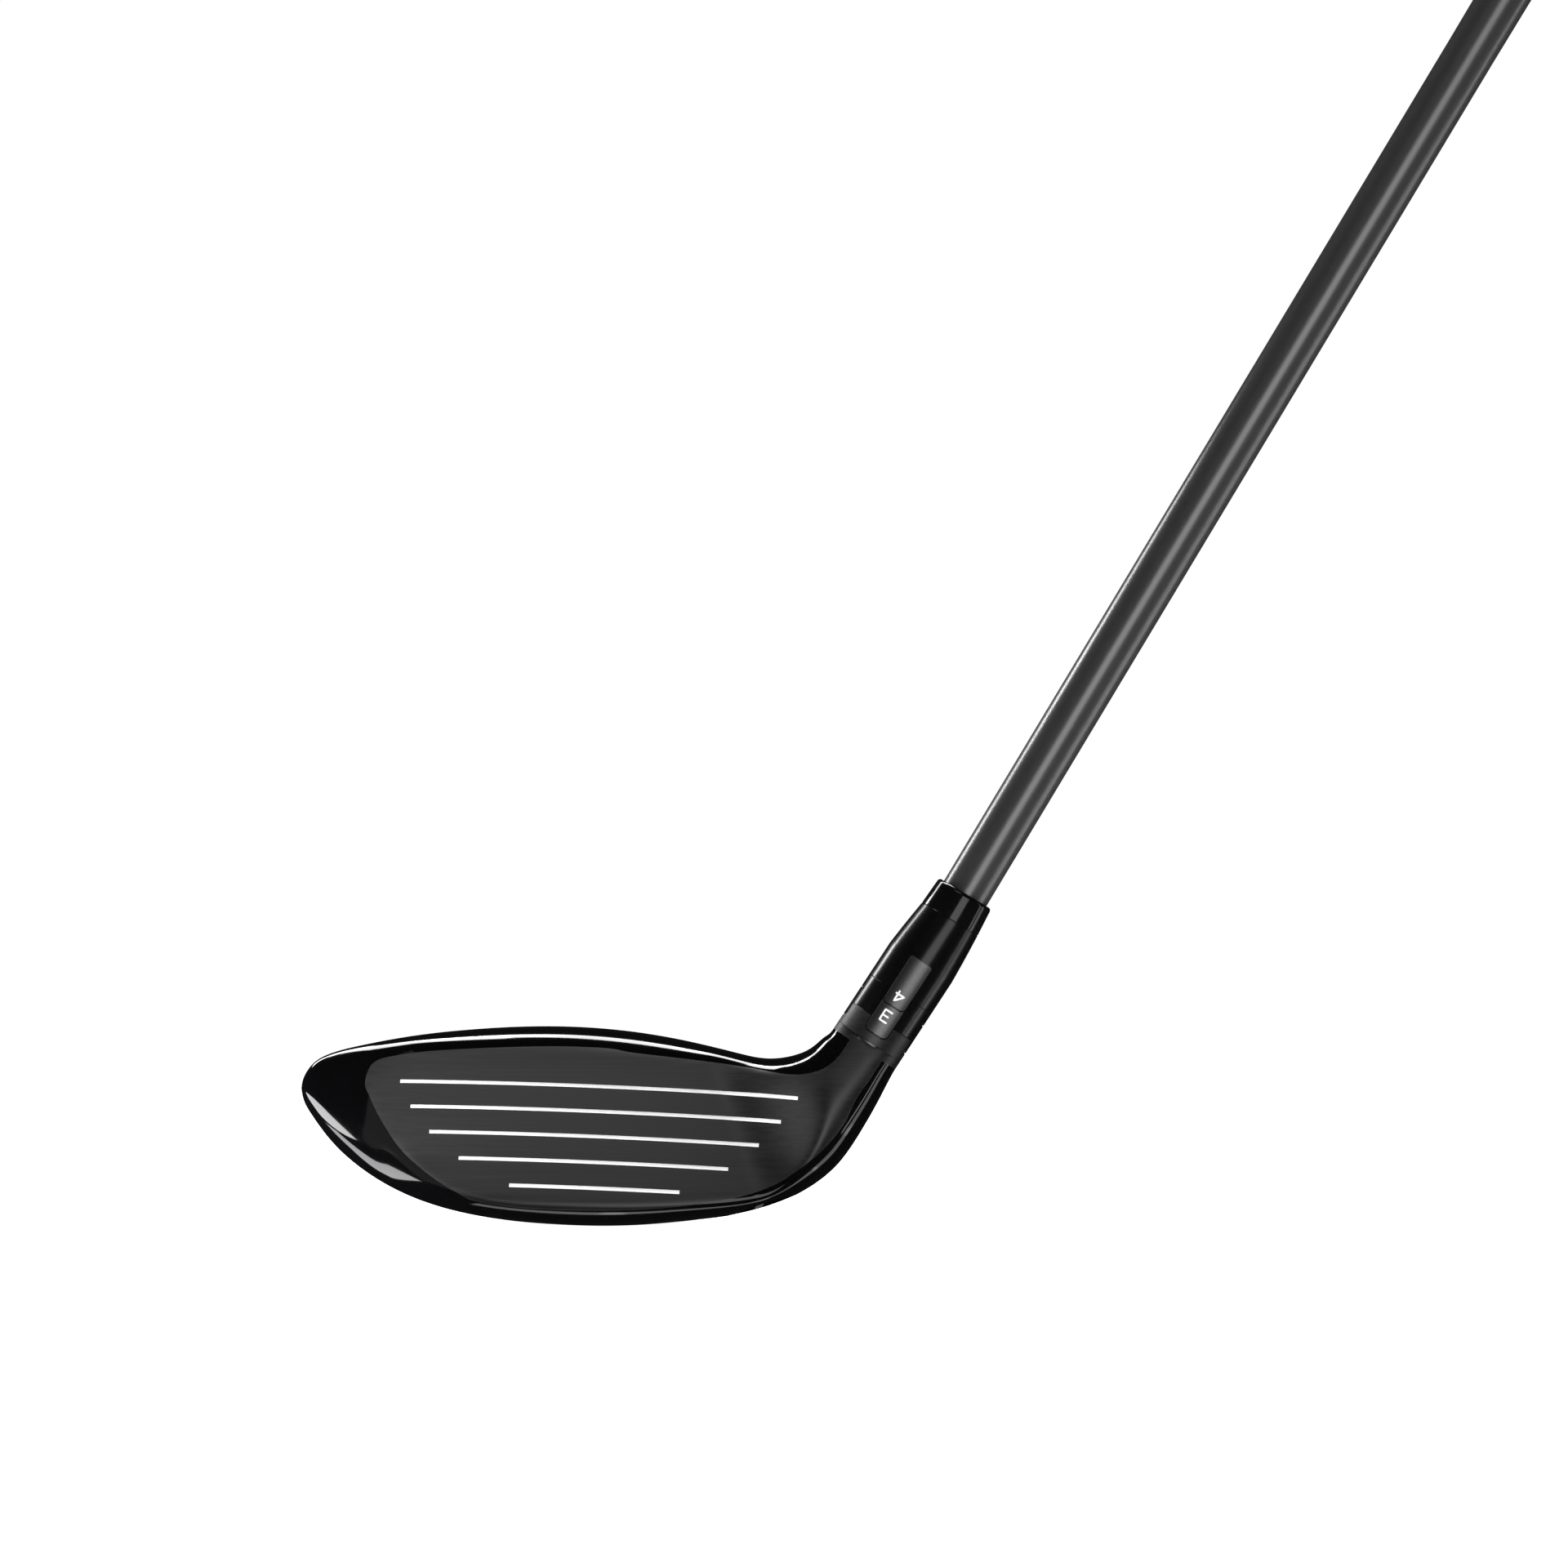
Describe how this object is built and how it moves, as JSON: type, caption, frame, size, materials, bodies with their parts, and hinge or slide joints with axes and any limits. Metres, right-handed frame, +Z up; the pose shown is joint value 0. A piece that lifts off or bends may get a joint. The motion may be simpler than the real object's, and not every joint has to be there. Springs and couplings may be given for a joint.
{
  "type": "hybrid golf club",
  "caption": "Right-handed hybrid golf club: hollow black head with a satin scored face, adjustable hosel, graphite shaft and rubber grip.",
  "frame": {"origin": "lowest point of the sole, where the soled club touches the ground, in the plane of the shaft and hosel axes", "axes": "+X from toe to heel, +Z up, the face looks towards -Y (the target), the shaft leans towards +X"},
  "size_m": [0.6248, 0.0635, 0.8817],
  "materials": {
    "black_gloss_paint": "high-gloss black lacquer over cast stainless steel",
    "dark_satin_steel": "dark ion-plated steel, brushed heel to toe",
    "white_enamel": "white paint fill",
    "screw_steel": "machined stainless steel",
    "black_anodised": "gloss black hard-anodised aluminium with satin setting windows",
    "ferrule_plastic": "polished black cellulose plastic",
    "graphite_shaft": "clear-coated black graphite tube",
    "grip_rubber": "moulded black rubber compound",
    "cap_rubber": "hard moulded rubber end cap",
    "masking_tape": "double-sided crepe tape",
    "foam": "closed-cell foam",
    "seal_rubber": "nitrile rubber",
    "weight_steel": "bead-blasted steel",
    "hot_melt": "tacky hot-melt glue"
  },
  "bodies": {
    "head": {"head_body": "black_gloss_paint", "crown_plate": "black_gloss_paint", "face_plate": "dark_satin_steel", "score_line_fill": "white_enamel", "hosel_screw_washer": "screw_steel", "screw_retainer": "screw_steel", "weight_pad": "seal_rubber", "swing_weight_glue": "hot_melt"},
    "hosel_screw": {"hosel_screw": "screw_steel"},
    "setting_ring": {"setting_ring": "black_anodised"},
    "shaft_assembly": {"hosel_sleeve": "black_anodised", "sleeve_o_ring": "seal_rubber", "shaft": "graphite_shaft", "shaft_tip_plug": "foam", "ferrule": "ferrule_plastic", "grip_tape": "masking_tape", "grip_sleeve": "grip_rubber", "grip_cap": "cap_rubber"},
    "weight_disc": {"weight_disc": "weight_steel"},
    "weight_screw": {"weight_screw": "screw_steel"}
  },
  "joints": [
    {"name": "hosel_screw_turn", "type": "hinge", "parent": "head", "child": "hosel_screw", "pos_m": [0.03, 0, 0.00533], "axis": [-0.5476, 0, -0.8368], "range_deg": [0, 5401]},
    {"name": "shaft_pull_out", "type": "slide", "parent": "head", "child": "setting_ring", "axis": [0.5476, 0, 0.8368], "range_m": [0, 0.045]},
    {"name": "sleeve_lift", "type": "slide", "parent": "setting_ring", "child": "shaft_assembly", "axis": [0.5476, 0, 0.8368], "range_m": [0, 0.012]},
    {"name": "weight_lift", "type": "slide", "parent": "head", "child": "weight_disc", "axis": [0, 0.2588, -0.9659], "range_m": [0, 0.0063]},
    {"name": "weight_screw_turn", "type": "hinge", "parent": "weight_disc", "child": "weight_screw", "pos_m": [-0.006, 0.034, 0.0041], "axis": [0, 0.2588, -0.9659], "range_deg": [0, 3241]}
  ],
  "couplings": [
    {"joint": "hosel_screw_turn", "follows": "sleeve_lift", "rad_per_m": 7854},
    {"joint": "weight_screw_turn", "follows": "weight_lift", "rad_per_m": 8976}
  ]
}
